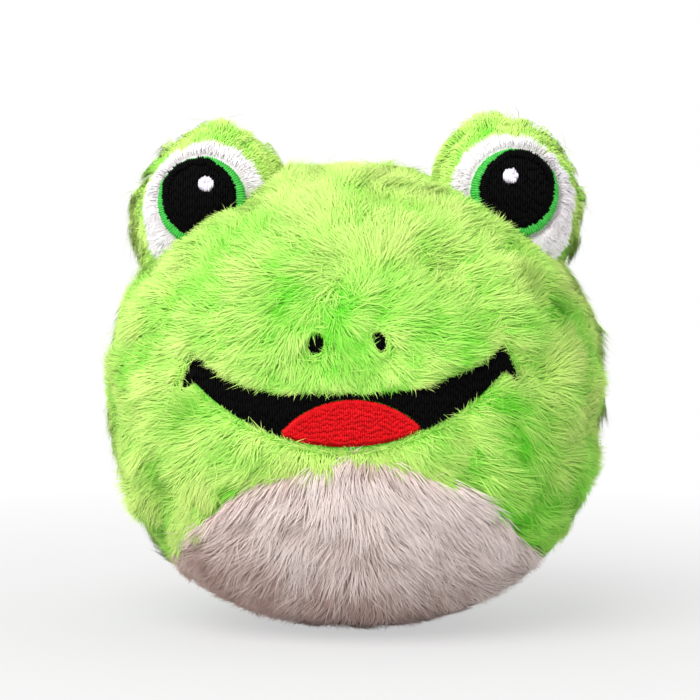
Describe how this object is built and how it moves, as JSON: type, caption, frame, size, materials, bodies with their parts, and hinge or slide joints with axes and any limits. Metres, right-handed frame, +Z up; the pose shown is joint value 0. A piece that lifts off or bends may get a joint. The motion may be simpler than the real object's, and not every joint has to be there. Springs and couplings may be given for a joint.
{
  "type": "plush frog",
  "caption": "Round stuffed plush frog ball with raised eye mounds, a pale belly and an embroidered smiling face, resting on its soft base.",
  "frame": {"origin": "middle of the flat base that the frog sits on", "axes": "+Z up through the crown, +X to the frog's own left, -Y out of its face"},
  "size_m": [0.098, 0.0917, 0.1024],
  "materials": {
    "green_plush": "matte",
    "white_plush": "matte",
    "eye_plush": "matte",
    "green_thread": "satin",
    "black_thread": "satin",
    "red_thread": "satin",
    "white_thread": "satin",
    "fibre_filling": "matte"
  },
  "bodies": {
    "root": {"face_panel": "green_plush", "left_back_panel": "green_plush", "right_back_panel": "green_plush", "belly_panel": "white_plush", "body_filling": "fibre_filling", "closing_seam_thread": "green_thread", "mouth": "black_thread", "tongue": "red_thread", "left_nostril": "black_thread", "right_nostril": "black_thread", "left_eye_mound": "green_plush", "left_eye_filling": "fibre_filling", "left_eye_white": "eye_plush", "left_eye_rim": "green_thread", "left_pupil": "black_thread", "left_highlight": "white_thread", "right_eye_mound": "green_plush", "right_eye_filling": "fibre_filling", "right_eye_white": "eye_plush", "right_eye_rim": "green_thread", "right_pupil": "black_thread", "right_highlight": "white_thread"}
  },
  "joints": []
}
